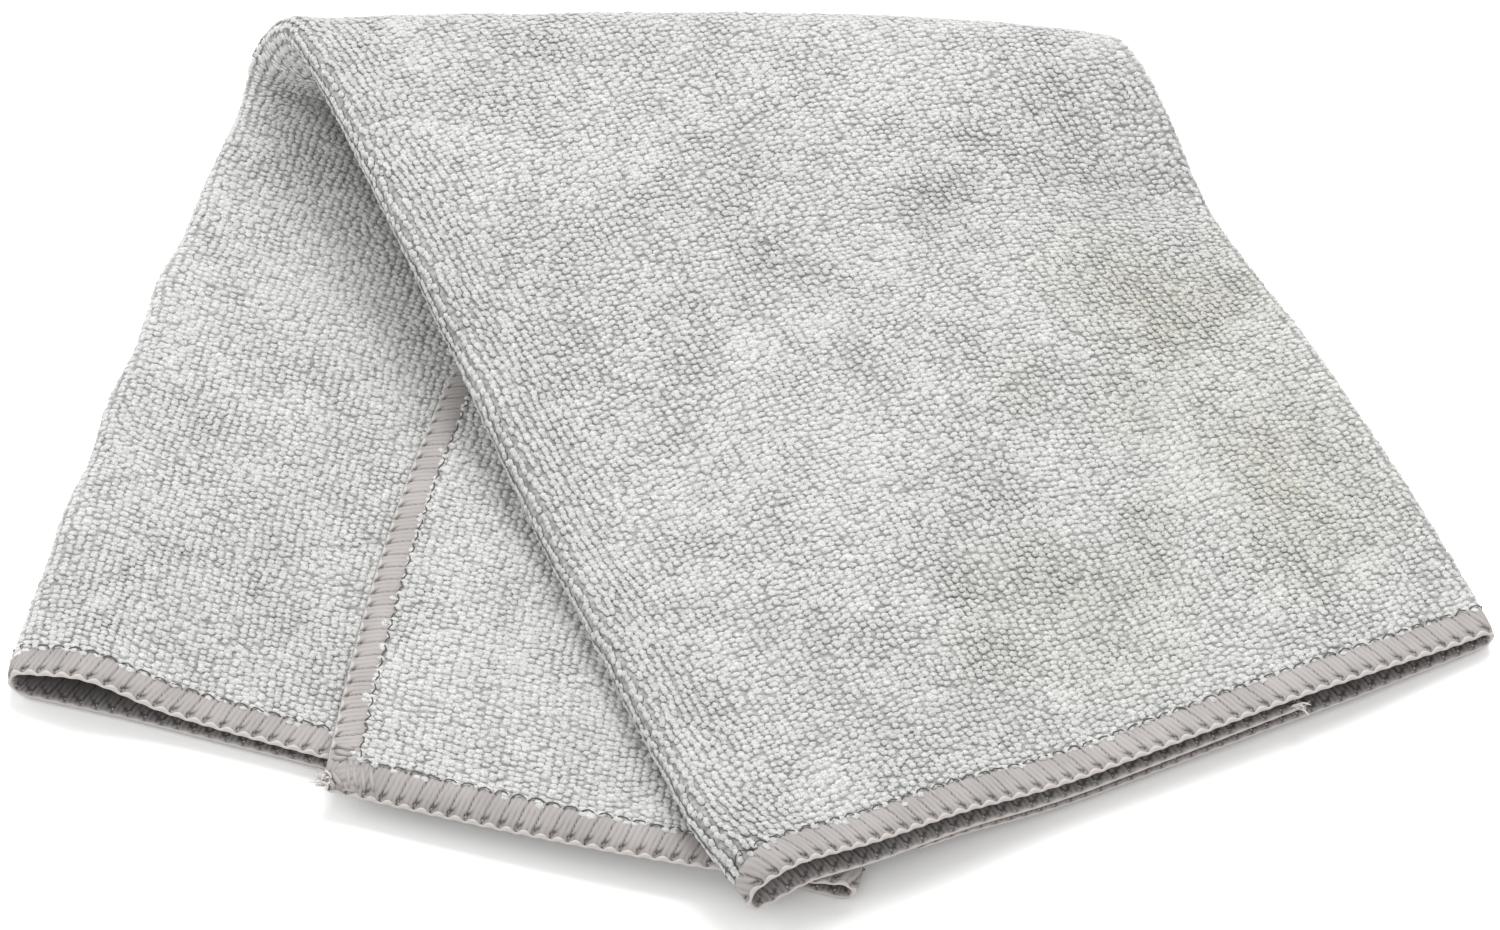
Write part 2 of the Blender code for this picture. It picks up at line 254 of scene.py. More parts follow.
def folded(across, along):
    """Points of the middle of the cloth's thickness, for places on the flat cloth."""
    place, depth, stack = strip_section(across, along)
    reached = slid(across, along)
    # on the strip laid flat: distance past the crease, and place along the crease
    past_crease = (reached - CREASE_ALONG) * math.cos(CREASE_SKEW) + place * math.sin(CREASE_SKEW)
    on_crease = place * math.cos(CREASE_SKEW) - (reached - CREASE_ALONG) * math.sin(CREASE_SKEW)

    # round the bend
    outer = bend_radius(on_crease)
    into_bend = past_crease + math.pi * outer / 2
    is_upper = into_bend < 0
    turn = np.clip(into_bend / outer, 0, math.pi)
    ahead = np.where(is_upper, -into_bend, np.maximum(into_bend - math.pi * outer, 0))
    on_bend = np.clip(on_crease / BEND_LINE["length"], 0, 1.1)
    forward = 4 * BEND_LINE["middle"] * on_bend * (1 - on_bend) + BEND_LINE["end"] * on_bend ** 4
    forward = forward * bell(ahead, 0, BEND_LINE["reach"])
    depth = depth + kink(across, along, turn)
    back = (outer - depth) * np.sin(turn) - ahead - forward
    bowed = np.clip(ahead / LOWER_LENGTH, 0, 1)
    on_crease = on_crease - np.where(is_upper, 0, 4 * LOWER_BOW * bowed * (1 - bowed))
    x = CREASE_X + on_crease * math.cos(CREASE_YAW) - back * math.sin(CREASE_YAW)
    y = CREASE_Y + on_crease * math.sin(CREASE_YAW) + back * math.cos(CREASE_YAW)
    bent_z = CLOTH_THICK / 2 + outer + (outer - depth) * np.cos(turn)

    # the upper half comes down from the bend, its layers as far apart on a slope as on the flat
    step = 0.001
    base = upper_base(on_crease, ahead, stack)
    slope_across = (upper_base(on_crease + step, ahead, stack) - base) / step
    slope_ahead = (upper_base(on_crease, ahead + step, stack) - base) / step
    upper_z = base + (stack - depth) * np.sqrt(1 + slope_across ** 2 + slope_ahead ** 2)

    into_inner = np.maximum(across - fold_lines(along)[1], 0)
    lower_z = bent_z + mouth_lift(across, along) - inner_droop(reached, into_inner)
    z = np.where(is_upper, upper_z, lower_z)
    return np.stack([x, y, z], axis=-1)


# Soft ridges and troughs pressed into the folded cloth: the knuckles of the lower half's left fold, the
# ridge and trough beside the loop, and hollows in the outer panel. In millimetres; heading is in degrees
# from the across direction.
CREASE_COLUMNS = ("across", "along", "heading", "long", "wide", "height")
CREASES = [
    (126, 287, 0, 6, 6, -0.5), (121, 301, 0, 7, 6, 0.8), (125, 318, 0, 6, 5, -0.5),
    (128, 333, 0, 7, 6, 0.6), (129, 347, 0, 6, 5, -0.6), (128, 362, 0, 7, 7, 0.5),
    (98, 301, 4, 22, 5, 0.9), (97, 290, -6, 20, 5, -0.9), (109, 334, 15, 10, 8, -0.8),
    (117, 371, 60, 9, 7, -0.6), (86, 370, 20, 12, 7, -0.5), (101, 352, 30, 16, 5, 0.5),
    (243, 98, 10, 12, 9, -0.7), (262, 92, 80, 9, 7, -0.5), (258, 50, 85, 22, 8, -0.6),
    (239, 60, 80, 20, 7, 0.5), (186, 178, 70, 16, 8, -0.5), (172, 205, 20, 18, 6, -0.5),
    (145, 150, 60, 18, 9, 0.5), (197, 30, 30, 14, 8, -0.5), (360, 374, 10, 14, 8, 0.5),
    (352, 350, 20, 12, 6, -0.5), (123, 238, 0, 8, 7, 1.3), (113, 237, 30, 7, 5, -1.6),
]
SAG_COLUMNS = ("across", "along", "reach", "drop")
SAGS = [(127, 214, 15, 3.0), (150, 205, 14, 0.8)]        # the loop's top has sunk at its open left end


def creased(across, along):
    """How far the ridges and troughs stand out there."""
    total = np.zeros_like(across + along)
    for row in CREASES:
        crease = dict(zip(CREASE_COLUMNS, row))
        heading = math.radians(crease["heading"])
        beside, ahead = across * 1000 - crease["across"], along * 1000 - crease["along"]
        run = beside * math.cos(heading) + ahead * math.sin(heading)
        off = ahead * math.cos(heading) - beside * math.sin(heading)
        total += crease["height"] / 1000 * bell(run, 0, crease["long"]) * bell(off, 0, crease["wide"])
    return total


def sagged(across, along):
    """How far the cloth has sunk there."""
    total = np.zeros_like(across + along)
    for row in SAGS:
        sag = dict(zip(SAG_COLUMNS, row))
        away = np.hypot(across * 1000 - sag["across"], along * 1000 - sag["along"])
        total += sag["drop"] / 1000 * bell(away, 0, sag["reach"])
    return total


def facing(by_across, by_along):
    """The cloth's outward normal, from two directions on it."""
    outward = np.cross(by_across, by_along)
    return outward / np.linalg.norm(outward, axis=-1, keepdims=True)


def on_cloth(across, along):
    """The point there, the two directions on the cloth and its outward normal."""
    step = 0.0004
    by_across = (folded(across + step, along) - folded(across - step, along)) / (2 * step)
    by_along = (folded(across, along + step) - folded(across, along - step)) / (2 * step)
    outward = facing(by_across, by_along)
    down = np.array([0, 0, -1])
    height, drop = creased(across, along)[..., None], sagged(across, along)[..., None]
    shown = outward * ease(outward[..., 2:], -0.5, 0.3)      # the face on the table stays flat
    point = folded(across, along) + shown * height + down * drop
    by_across = by_across + shown * (creased(across + step, along)[..., None] - height) / step
    by_across += down * (sagged(across + step, along)[..., None] - drop) / step
    by_along = by_along + shown * (creased(across, along + step)[..., None] - height) / step
    by_along += down * (sagged(across, along + step)[..., None] - drop) / step
    return point, by_across, by_along, facing(by_across, by_along)


def raised(across, along, lift):
    """Points at a height above the middle of the cloth's thickness, on its outer face."""
    point, _, _, outward = on_cloth(across, along)
    return point + outward * np.asarray(lift)[..., None]


def drift(across, along, size, seed):
    """Soft unevenness from -1 to 1, with patches of about the given size."""
    cells = 64
    grid = np.random.RandomState(seed).uniform(-1, 1, (cells, cells))
    a, b = np.asarray(across) / size + 7, np.asarray(along) / size + 7
    i, j = np.floor(a).astype(int), np.floor(b).astype(int)
    p, q = a - i, b - j
    p, q = p * p * (3 - 2 * p), q * q * (3 - 2 * q)
    low = grid[i % cells, j % cells] * (1 - p) + grid[(i + 1) % cells, j % cells] * p
    high = grid[i % cells, (j + 1) % cells] * (1 - p) + grid[(i + 1) % cells, (j + 1) % cells] * p
    return low * (1 - q) + high * q


def stations(bounds, counts):
    """Places from bound to bound, evenly spaced between each two."""
    steps = [bounds[0]]
    for start, end, count in zip(bounds, bounds[1:], counts):
        steps += [start + (end - start) * (k + 1) / count for k in range(count)]
    return steps


# The sheet's net, with its lines crowded at the folds, the bend and the hems. It thins to the cut edge, where
# the overlock pulls it flat.
SHEET_THICK = 0.0019
THINNED = {"share": 0.45, "from": 0.0005, "to": 0.0065}
COLUMNS = {"under panel": 34, "left fold": 9, "outer panel": 46, "right fold": 9, "inner panel": 30}
ROWS = {"top hem": 5, "upper half": 48, "bend": 18, "lower half": 44, "bottom hem": 5}
HEM_DEEP = 0.009


def column_places(along):
    """Where the net's lines along the cloth cross a line across it."""
    left, right, left_nose, right_nose = fold_lines(along)
    left_half = math.pi * left_nose / 2
    right_half = math.pi * right_nose / 2
    bounds = [0 * along, left - left_half, left + left_half, right - right_half, right + right_half,
              CLOTH_ACROSS + 0 * along]
    return stations(bounds, COLUMNS.values())


def row_places(across):
    """Where the net's lines across the cloth cross a line along it."""
    place, _, _ = strip_section(across, CREASE_ALONG + 0 * across)
    quarter = math.pi * bend_radius(place / math.cos(CREASE_SKEW)) / 2
    crossing = CREASE_ALONG - place * math.tan(CREASE_SKEW)
    half_bend = quarter / math.cos(CREASE_SKEW)
    flat = 0 * across
    bounds = [flat, flat + HEM_DEEP, crossing - half_bend, crossing + half_bend,
              flat + CLOTH_ALONG - HEM_DEEP, flat + CLOTH_ALONG]
    return stations(bounds, ROWS.values())


columns = sum(COLUMNS.values()) + 1
rows = sum(ROWS.values()) + 1
net_along = np.tile(np.linspace(0, CLOTH_ALONG, rows), (columns, 1))
for _ in range(4):             # the two sets of lines depend on each other, and settle in a few turns
    net_across = np.array([column_places(net_along[i])[i] for i in range(columns)])
    net_along = np.array([row_places(net_across[:, j])[j] for j in range(rows)]).T
net_points = on_cloth(net_across, net_along)[0]
net = bmesh.new()
bmesh.ops.create_grid(net, x_segments=columns - 1, y_segments=rows - 1, size=1)
uv_layer = net.loops.layers.uv.new("flat_cloth")
full_thickness = net.verts.layers.deform.new()
places = {}
for vertex in net.verts:
    spot = (round((vertex.co.x + 1) / 2 * (columns - 1)), round((vertex.co.y + 1) / 2 * (rows - 1)))
    places[vertex] = spot
    vertex.co = net_points[spot]
    from_cut = min(net_across[spot], CLOTH_ACROSS - net_across[spot], net_along[spot],
                   CLOTH_ALONG - net_along[spot])
    vertex[full_thickness][0] = float(ease(from_cut, THINNED["from"], THINNED["to"]))
UV_PER_METRE = 10
for face in net.faces:
    for loop in face.loops:
        spot = places[loop.vert]
        loop[uv_layer].uv = (net_across[spot] * UV_PER_METRE, net_along[spot] * UV_PER_METRE)
sheet_mesh = bpy.data.meshes.new("cloth_sheet")
net.to_mesh(sheet_mesh)
net.free()
sheet_mesh.shade_smooth()
cloth = bpy.data.objects.new("cloth_sheet", sheet_mesh)
bpy.context.scene.collection.objects.link(cloth)
cloth.vertex_groups.new(name="full thickness")
thickness = cloth.modifiers.new("thickness", "SOLIDIFY")
thickness.thickness = SHEET_THICK
thickness.offset = 0
thickness.vertex_group = "full thickness"
thickness.thickness_vertex_group = THINNED["share"]


def linear(hex_colour):
    """A colour as a camera records it, turned into the renderer's linear one."""
    parts = [int(hex_colour[k:k + 2], 16) / 255 for k in (1, 3, 5)]
    return tuple(c / 12.92 if c <= 0.04045 else ((c + 0.055) / 1.055) ** 2.4 for c in parts) + (1,)


def node(tree, kind, settings=(), **links):
    """A node with its settings, and its named inputs set to values or linked to sockets."""
    made = tree.nodes.new(kind)
    for name, value in dict(settings).items():
        setattr(made, name, value)
    for name, value in links.items():
        key = int(name[1:]) if name[0] == "i" and name[1:].isdigit() else name.replace("_", " ")
        if isinstance(value, bpy.types.NodeSocket):
            tree.links.new(value, made.inputs[key])
        else:
            made.inputs[key].default_value = value
    return made


def new_material(name):
    """A matt material with its node tree and its shader."""
    material = bpy.data.materials.new(name)
    material.use_nodes = True
    material.node_tree.nodes["Principled BSDF"].inputs["Roughness"].default_value = 0.95
    return material, material.node_tree, material.node_tree.nodes["Principled BSDF"]


# Warp-knitted microfibre terry of polyester and polyamide, dyed a pale grey: quite matt, with no shine on
# the threads. Between its loops the ground lies deeper. Its greys are darker than the pile's, and darkest in
# the deep cells, as painted shade of the ground seen in the gaps; that breaks the grey into cells.
KNIT_PITCH = (0.0019, 0.0013)
KNIT_RELIEF = 0.0006
KNIT_LIGHT = linear("#A6A6A4")
KNIT_DEEP_SHADE = linear("#7A7A78")
knit, tree, shader = new_material("microfibre_knit")
flat_place = node(tree, "ShaderNodeUVMap", {"uv_map": "flat_cloth"}).outputs["UV"]
in_loops = node(tree, "ShaderNodeVectorMath", {"operation": "MULTIPLY"}, i0=flat_place,
                i1=(1 / KNIT_PITCH[0] / UV_PER_METRE, 1 / KNIT_PITCH[1] / UV_PER_METRE, 1))
cells = node(tree, "ShaderNodeTexVoronoi", {"voronoi_dimensions": "2D"}, Vector=in_loops.outputs[0],
             Scale=1.0, Randomness=0.7)
# painted shade: the deeper the cell, the darker its colour
deep = node(tree, "ShaderNodeMapRange", Value=cells.outputs["Distance"], From_Min=0.15, From_Max=0.75)
coloured = node(tree, "ShaderNodeMix", {"data_type": "RGBA"}, i0=deep.outputs[0], i6=KNIT_LIGHT, i7=KNIT_DEEP_SHADE)
tree.links.new(coloured.outputs[2], shader.inputs["Base Color"])
relief = node(tree, "ShaderNodeBump", {"invert": True}, Strength=0.8, Distance=KNIT_RELIEF,
              Height=cells.outputs["Distance"])
tree.links.new(relief.outputs[0], shader.inputs["Normal"])
cloth.data.materials.append(knit)
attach(cloth, "root")
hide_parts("cloth")


# ---------------------------------------------------------------- the pile loops
# The knit's loops stand up as small rice grains, in columns along the cloth, and lean and bunch a little.
# They cover both faces of the real cloth, and are made here on the outer face, where it shows.

GRAIN_ACROSS = 0.00150         # from one column to the next, and from grain to grain in a column
GRAIN_ALONG = 0.00112
GRAIN_SIDES = 5
GRAIN_SUNK = 0.00012           # how deep a grain's foot lies in the sheet
GRAIN_STRAYS = {"column": 0.28 * GRAIN_ALONG, "drift": 0.0006, "across": 0.00015, "along": 0.00014}


def cloth_piece(name, mesh, material, **layers):
    """A finished piece that belongs to the cloth, with the values at its points that its material reads."""
    mesh.shade_smooth()
    for layer_name, values in layers.items():
        layer = mesh.attributes.new(layer_name, "FLOAT", "POINT")
        layer.data.foreach_set("value", np.ascontiguousarray(values, dtype=np.float32).ravel())
    mesh.materials.append(material)
    made = bpy.data.objects.new(name, mesh)
    bpy.context.scene.collection.objects.link(made)
    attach(made, "root")
    return made


def grain_dome():
    """The points and faces of one grain with half sizes of 1, from a root sunk in the sheet to a low tip."""
    root, shoulder, shoulder_size, tip_height = -0.35, 0.70, 0.86, 1.0
    grain = bmesh.new()
    bmesh.ops.create_cone(grain, cap_ends=False, segments=GRAIN_SIDES, radius1=1, radius2=shoulder_size,
                          depth=shoulder - root)
    bmesh.ops.translate(grain, verts=grain.verts, vec=(0, 0, (root + shoulder) / 2))
    rim = [edge for edge in grain.edges if min(vertex.co.z for vertex in edge.verts) > 0]
    crown = bmesh.ops.edgeloop_fill(grain, edges=rim)
    tip = bmesh.ops.poke(grain, faces=crown["faces"])
    tip["verts"][0].co.z = tip_height
    bmesh.ops.triangulate(grain, faces=grain.faces)
    bmesh.ops.recalc_face_normals(grain, faces=grain.faces)
    grain.verts.index_update()
    points = np.array([vertex.co for vertex in grain.verts])
    faces = np.array([[vertex.index for vertex in face.verts] for face in grain.faces])
    grain.free()
    return points, faces


def scattered(name, points, faces):
    """One mesh of many copies of a grain: the points of all, and the faces of one."""
    count, per_grain = points.shape[:2]
    faces = (faces[None] + (np.arange(count) * per_grain)[:, None, None]).reshape(-1, 3)
    mesh = bpy.data.meshes.new(name)
    mesh.vertices.add(count * per_grain)
    mesh.vertices.foreach_set("co", np.ascontiguousarray(points, dtype=np.float32).ravel())
    mesh.loops.add(faces.size)
    mesh.loops.foreach_set("vertex_index", np.ascontiguousarray(faces, dtype=np.int32).ravel())
    mesh.polygons.add(len(faces))
    mesh.polygons.foreach_set("loop_start", np.arange(0, faces.size, 3, dtype=np.int32))
    mesh.polygons.foreach_set("loop_total", np.full(len(faces), 3, dtype=np.int32))
    mesh.update(calc_edges=True)
    return mesh


def grain_places(across_range, along_range, seed):
    """Columns of grains over a part of the flat cloth, each a little out of place."""
    dice = np.random.RandomState(seed)
    across = np.arange(across_range[0], across_range[1], GRAIN_ACROSS)
    along = np.arange(along_range[0], along_range[1], GRAIN_ALONG)
    across, along = np.meshgrid(across, along, indexing="ij")
    along = along + dice.normal(0, GRAIN_STRAYS["column"], (across.shape[0], 1))
    across = across + GRAIN_STRAYS["drift"] * drift(across, along, 0.009, seed + 1) + dice.normal(
        0, GRAIN_STRAYS["across"], across.shape)
    along = along + GRAIN_STRAYS["drift"] * drift(across, along, 0.008, seed + 2) + dice.normal(
        0, GRAIN_STRAYS["along"], across.shape)
    return across.ravel(), along.ravel()


# Where handling has parted the pile, or fluffed it up where that is negative, and where it is stained. Places
# and reach are in millimetres. Four rows stand for light and shade rather than handling: two darken the pile
# as painted shadow under the left fold at the loop's end, and two lighten it beside that fold as painted
# light.
PATCH_COLUMNS = ("across", "along", "reach", "parted", "stain")
PATCHES = [
    (165, 188, 11, 0.30, 0), (201, 208, 12, 0.35, 0), (141, 187, 7, 0.25, 0), (180, 198, 9, 0.25, 0),
    (177, 123, 8, 0.35, 0), (221, 133, 6, 0.45, 0), (256, 148, 8, 0.25, 0), (190, 118, 5, 0.30, 0),
    (240, 98, 9, 0.50, 0.55), (250, 95, 8, 0.50, 0.75), (276, 106, 7, 0.35, 0.35),
    (262, 94, 5, 0.25, 0.60), (242, 84, 5, 0.35, 0.70), (278, 74, 7, 0.50, 0.50),
    (255, 60, 8, 0.45, 0.45), (245, 55, 7, 0.25, 0.75), (242, 43, 6, 0.30, 0.75),
    (247, 31, 6, 0.30, 0.60), (276, 40, 8, 0.40, 0.10), (238, 25, 7, 0.45, 0.20),
    (210, 81, 4, 0.45, 0.50), (230, 76, 4, 0.45, 0.30), (227, 69, 5, 0.10, 0.60),
    (219, 47, 4, 0.50, 0.55), (209, 33, 6, 0.45, 0.55), (197, 22, 8, 0.50, 0.50),
    (196, 39, 5, 0.20, 0.50), (192, 46, 5, 0.45, 0.25), (178, 45, 5, 0.45, 0.20),
    (185, 41, 4, 0.20, 0.50), (176, 28, 6, 0.40, 0.35), (149, 40, 4, 0.40, 0.08), (179, 11, 8, 0.30, 0),
    (151, 9, 7, 0.30, 0), (119, 37, 6, 0.30, 0.10), (131, 115, 5, 0.25, 0), (181, 98, 5, 0.20, 0.10),
    (192, 60, 6, 0.20, 0), (148, 151, 9, -0.40, 0), (145, 168, 6, -0.40, 0), (209, 62, 6, -0.55, 0),
    (205, 49, 5, -0.40, 0), (212, 19, 4, -0.35, 0), (224, 23, 5, -0.40, 0), (133, 86, 7, -0.40, 0),
    (175, 75, 7, -0.35, 0), (169, 59, 6, -0.35, 0), (135, 13, 7, -0.35, 0), (233, 121, 8, -0.30, 0),
    (223, 164, 10, -0.45, 0), (166, 109, 7, -0.25, 0), (232, 52, 5, -0.30, 0), (130, 43, 6, -0.25, 0),
    (133, 181, 5, -0.30, 0), (192, 141, 6, -0.30, 0), (111, 333, 8, 0.40, 0), (103, 332, 6, 0.35, 0),
    (119, 374, 8, 0.50, 0), (86, 371, 8, 0.35, 0), (102, 360, 9, 0.20, 0), (129, 269, 6, 0.30, 0),
    (117, 307, 10, -0.40, 0), (93, 324, 6, -0.45, 0), (74, 355, 7, -0.30, 0), (88, 393, 5, -0.30, 0),
    (371, 373, 9, -0.45, 0), (357, 376, 8, -0.45, 0), (349, 359, 6, 0.20, 0), (369, 343, 6, -0.20, 0),
    (261, 85, 12, 0.25, 0.10), (258, 42, 9, 0.35, 0.20), (276, 29, 10, 0.45, 0.15),
    (272, 15, 9, 0.40, 0.10), (263, 107, 9, 0.30, 0), (245, 106, 8, 0.25, 0.20),
    (236, 29, 8, 0.30, 0.15), (167, 221, 10, 0.20, 0), (177, 213, 9, 0.25, 0), (196, 179, 8, 0.20, 0),
    # the last row here is painted shadow under the left fold at the loop's end
    (203, 168, 7, 0.20, 0), (114, 8, 6, 0.20, 0), (262, 22, 14, 0.25, 0), (113, 240, 6, 0.70, 0),
    # the first row here is painted shadow under the left fold at the loop's end; the third and fourth are
    # painted light beside that fold
    (108, 252, 7, 0.30, 0), (99, 301, 8, -0.30, 0), (96, 284, 13, -0.60, 0), (84, 300, 9, -0.40, 0),
    (118, 301, 6, -0.35, 0), (124, 318, 5, -0.20, 0),
]


def patched(across, along, column, spread=1.0):
    """The sum of one column of the patches at a place on the cloth, spread wider or not."""
    total = np.zeros_like(across)
    for row in PATCHES:
        patch = dict(zip(PATCH_COLUMNS, row))
        if patch[column]:
            away = np.hypot(across - patch["across"] / 1000, along - patch["along"] / 1000)
            total += patch[column] * bell(away, 0, patch["reach"] * spread / 1000)
    return total


RIBS = {"off_fold": 0.004, "wide": 0.010, "before_bend": 0.01, "parted": 0.55}
# Where the painted shadow under the overhanging left fold lies on the lower half, and how wide it is
FOLD_SHADOW_BAND = {"across": 0.110, "along": 0.259, "facing": (0.76, 0.65), "starts": 0.0120, "wide": 0.0034,
           "from_along": 0.243, "to_across": 0.130}
FOLD_GLOW_WIDE = 0.0040
INNER_PANEL = {"across": 0.350, "wide": 0.080, "fluffed": 0.14}
MOTTLED = {"middle": 0.34, "broad": 0.22, "broad_patch": 0.012, "fine": 0.34, "fine_patch": 0.0045}


def ribbed(across, along):
    """1 beside the upper half's left fold, where the rows of grains close up into ribs along it."""
    beside = bell(across - fold_lines(along)[0], RIBS["off_fold"], RIBS["wide"])
    return beside * (along < CREASE_ALONG - RIBS["before_bend"])


def painted_fold_shadow(across, along):
    """1 on the lower half close under the overhanging left fold, where a painted shadow darkens the pile."""
    beside, ahead = across - FOLD_SHADOW_BAND["across"], along - FOLD_SHADOW_BAND["along"]
    off = beside * FOLD_SHADOW_BAND["facing"][0] + ahead * FOLD_SHADOW_BAND["facing"][1] + FOLD_SHADOW_BAND["starts"]
    on_lower = (along > FOLD_SHADOW_BAND["from_along"]) & (across < FOLD_SHADOW_BAND["to_across"])
    return bell(np.maximum(off, 0), 0, FOLD_SHADOW_BAND["wide"]) * on_lower


def painted_fold_glow(across, along):
    """1 round the outer folds, where the pile gets a painted highlight: lighter tips, and lighter roots."""
    left, right, _, _ = fold_lines(along)
    return bell(across, right, FOLD_GLOW_WIDE) + bell(across, left, FOLD_GLOW_WIDE) * (along > CREASE_ALONG)


def parted(across, along):
    """How far the grains have parted, from 0 where they are fluffed up to 1 in open ribs."""
    on_inner_panel = bell(across, INNER_PANEL["across"], INNER_PANEL["wide"]) * (along > CREASE_ALONG)
    ribs = RIBS["parted"] * ribbed(across, along) - INNER_PANEL["fluffed"] * on_inner_panel
    mottled = (MOTTLED["middle"] + MOTTLED["broad"] * drift(across, along, MOTTLED["broad_patch"], 5)
               + MOTTLED["fine"] * drift(across, along, MOTTLED["fine_patch"], 6))
    return np.clip(mottled + ribs + patched(across, along, "parted"), 0, 1)


# What a grain is like where the pile is closed, and what parting it, and closing it up into ribs, adds. Half
# sizes are shares of the pitch, height is in metres, and tints go from 0, dark, to 1, light.
GRAIN_LOOKS = {
    "half_across": {"closed": 0.715, "parted": -0.19, "ribbed": -0.04},
    "half_along": {"closed": 0.63, "parted": 0.02, "ribbed": 0.26},
    "height": {"closed": 0.00048, "parted": 0.00012, "ribbed": 0.0},
    "tint": {"closed": 0.86, "parted": -0.12, "ribbed": 0.0},
    # The roots' tint is painted shade: it darkens each grain's sunk root, and so the gaps between grains,
    # most where the pile is parted.
    "painted_root_shade": {"closed": -0.30, "parted": -1.60, "ribbed": 0.0},
}
UNEVEN = {"size": 0.09, "turn": 0.15, "turn_drift": 0.20, "turn_patch": 0.013, "lean": 0.16, "length": 0.07,
          "height": 0.16, "tint": 0.04, "tint_drift": 0.03, "tint_patch": 0.021}
LEAN_REACH = 0.0012            # how far a tip moves for a lean of 1
FOLD_GLOW_TINT = {"tip": 0.08, "root": 0.65}
# How dark the painted shadow under the left fold makes the grains
FOLD_SHADOW_TINT = 0.38
STAINED = {"strength": 0.54, "spread": 1.5, "least": 0.6, "most": 1.2}


def grains(name, across, along, material, seed):
    """One piece of pile: a grain on the cloth at each place, with how light and how stained it is."""
    dice = np.random.RandomState(seed)
    count = len(across)
    point, by_across, by_along, outward = on_cloth(across, along)
    # rim: where the grains get a painted highlight round the outer folds
    parting, rib, rim = parted(across, along), ribbed(across, along), painted_fold_glow(across, along)
    look = {part: row["closed"] + row["parted"] * parting + row["ribbed"] * rib
            for part, row in GRAIN_LOOKS.items()}

    size = 1 + dice.normal(0, UNEVEN["size"], count)
    turn = dice.normal(0, UNEVEN["turn"], count)
    turn += UNEVEN["turn_drift"] * drift(across, along, UNEVEN["turn_patch"], 7)
    lean = dice.normal(0, UNEVEN["lean"], (count, 2)) * LEAN_REACH
    half_across = GRAIN_ACROSS * look["half_across"] * size
    half_along = GRAIN_ALONG * look["half_along"] * size * (1 + dice.normal(0, UNEVEN["length"], count))
    height = look["height"] * (1 + UNEVEN["height"] * dice.normal(0, 1, count).clip(-2, 2))

    dome, faces = grain_dome()
    tall = np.maximum(dome[:, 2], 0)
    beside = dome[:, 0] * half_across[:, None] + lean[:, :1] * tall
    ahead = dome[:, 1] * half_along[:, None] + lean[:, 1:] * tall
    cos, sin = np.cos(turn)[:, None], np.sin(turn)[:, None]
    beside, ahead = beside * cos - ahead * sin, beside * sin + ahead * cos
    above = SHEET_THICK / 2 - GRAIN_SUNK + dome[:, 2] * height[:, None]
    points = (point[:, None] + beside[..., None] * by_across[:, None] + ahead[..., None] * by_along[:, None]
              + above[..., None] * outward[:, None])

    # painted light and shade in the tint: lighter round the outer folds, darker in the painted shadow under
    # the left fold
    tint = (look["tint"] + FOLD_GLOW_TINT["tip"] * rim - FOLD_SHADOW_TINT * painted_fold_shadow(across, along)
            + UNEVEN["tint_drift"] * drift(across, along, UNEVEN["tint_patch"], 8)
            + dice.normal(0, UNEVEN["tint"], count))
    # painted shade on the roots, lifted round the outer folds by the painted highlight there
    painted_root_shade = look["painted_root_shade"] * (1 - FOLD_GLOW_TINT["root"] * rim)
    shades = tint[:, None] + np.where(dome[:, 2] < 0, painted_root_shade[:, None], 0.0)
    stain = STAINED["strength"] * patched(across, along, "stain", STAINED["spread"])
    stain = stain * dice.uniform(STAINED["least"], STAINED["most"], count)
    return cloth_piece(name, scattered(name, points, faces), material, shade=shades,
                       stain=np.repeat(stain.clip(0, 1), len(dome)))


# Loops of split microfibre, fluffed by washing. Their fine fibres scatter the light, so a loop is pale and
# soft with a faint sheen at its edges. The gaps between loops are painted dark as shade, through the
# grains' darker roots.
PILE_DARK = linear("#585957")
PILE_LIGHT = linear("#CCCCCA")
STAIN = linear("#F5F4E4")
FIBRE_TUFT = 0.00043           # the split fibres are far finer: their tufts are drawn as small as shows
pile, tree, shader = new_material("microfibre_pile")
tint = node(tree, "ShaderNodeAttribute", {"attribute_name": "shade"})
stain = node(tree, "ShaderNodeAttribute", {"attribute_name": "stain"})
coloured = node(tree, "ShaderNodeMix", {"data_type": "RGBA"}, i0=tint.outputs["Fac"], i6=PILE_DARK,
                i7=PILE_LIGHT)
stained = node(tree, "ShaderNodeMix", {"data_type": "RGBA", "blend_type": "MULTIPLY"},
               i0=stain.outputs["Fac"], i6=coloured.outputs[2], i7=STAIN)
fibres = node(tree, "ShaderNodeTexNoise", Vector=node(tree, "ShaderNodeTexCoord").outputs["Object"],
              Scale=1 / FIBRE_TUFT, Detail=2.0)
fluff = node(tree, "ShaderNodeMapRange", Value=fibres.outputs[0], From_Min=0.34, From_Max=0.66, To_Min=0.74,
             To_Max=1.10)
fluffed = node(tree, "ShaderNodeMix", {"data_type": "RGBA", "blend_type": "MULTIPLY"}, i0=1.0,
               i6=stained.outputs[2], i7=fluff.outputs[0])
tree.links.new(fluffed.outputs[2], shader.inputs["Base Color"])
shader.inputs["Sheen Weight"].default_value = 0.50
shader.inputs["Sheen Roughness"].default_value = 0.45
relief = node(tree, "ShaderNodeBump", Strength=0.7, Distance=0.0003, Height=fibres.outputs[0])
tree.links.new(relief.outputs[0], shader.inputs["Normal"])

